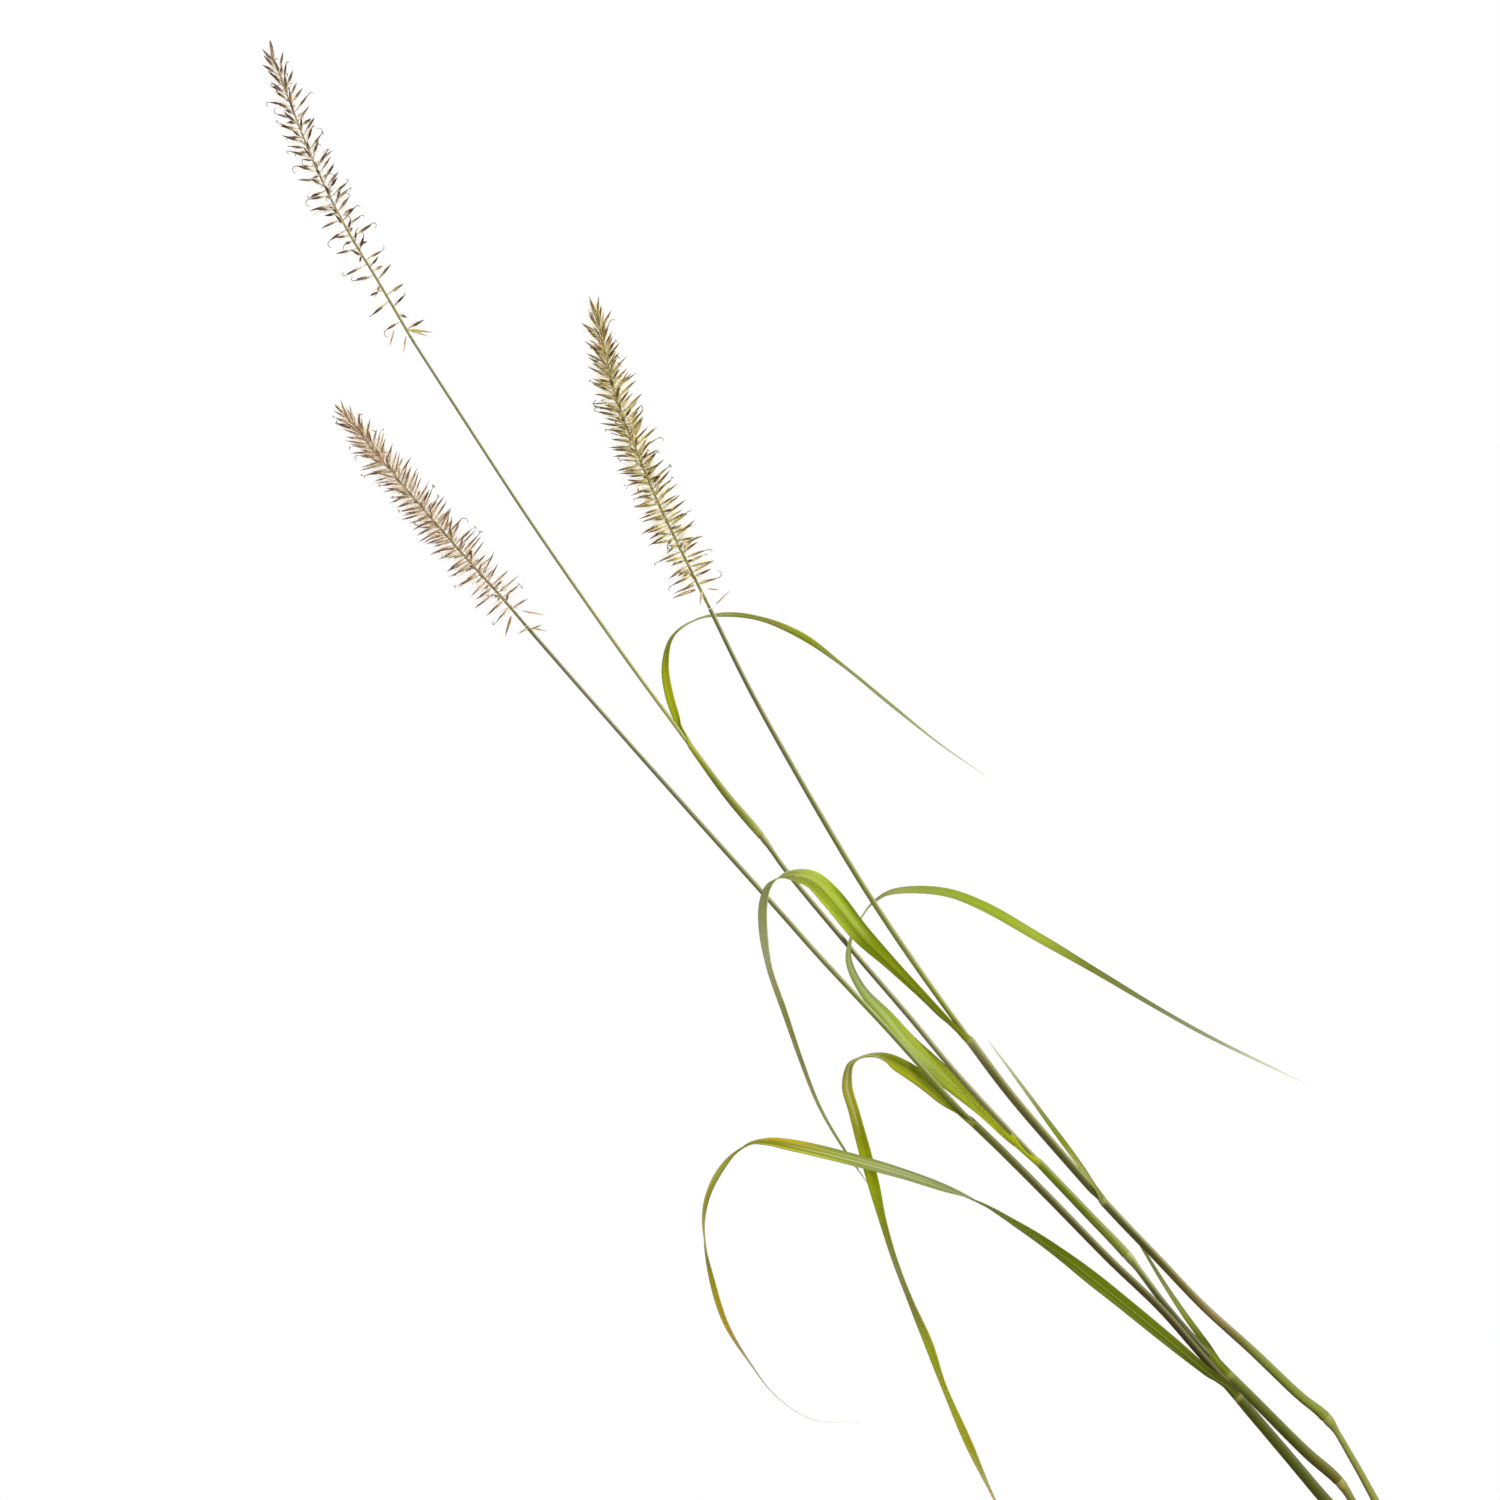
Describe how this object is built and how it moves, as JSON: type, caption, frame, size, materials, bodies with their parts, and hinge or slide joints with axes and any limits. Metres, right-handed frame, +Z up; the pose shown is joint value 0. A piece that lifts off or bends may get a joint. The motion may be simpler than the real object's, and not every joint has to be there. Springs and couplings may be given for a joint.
{
  "type": "potted fountain grass",
  "caption": "Ornamental clump grass in a plain clay pot, with leaning culms, long arching folded leaves and bristly bottlebrush flower heads.",
  "frame": {"origin": "middle of the pot's flat base", "axes": "+Z up, seen from the front along +Y with +X to the right, the culms lean out over the pot towards -X"},
  "size_m": [0.7132, 0.2986, 0.9851],
  "materials": {
    "pot": "matte unglazed clay",
    "soil": "crumbly potting mix",
    "culms": "smooth satin stem",
    "heads": "bristly spikelets",
    "leaves": "satin leaf blade",
    "shoots": "satin leaf blade"
  },
  "bodies": {
    "root": {"pot": "pot", "soil": "soil", "culm_a": "culms", "culm_b": "culms", "culm_c": "culms", "head_a": "heads", "head_b": "heads", "head_c": "heads", "leaf_1": "leaves", "leaf_2": "leaves", "leaf_3": "leaves", "leaf_4": "leaves", "leaf_5": "leaves", "leaf_6": "leaves", "leaf_7": "leaves", "shoot_1": "shoots", "shoot_2": "shoots", "shoot_3": "shoots", "shoot_4": "shoots", "shoot_5": "shoots"}
  },
  "joints": []
}
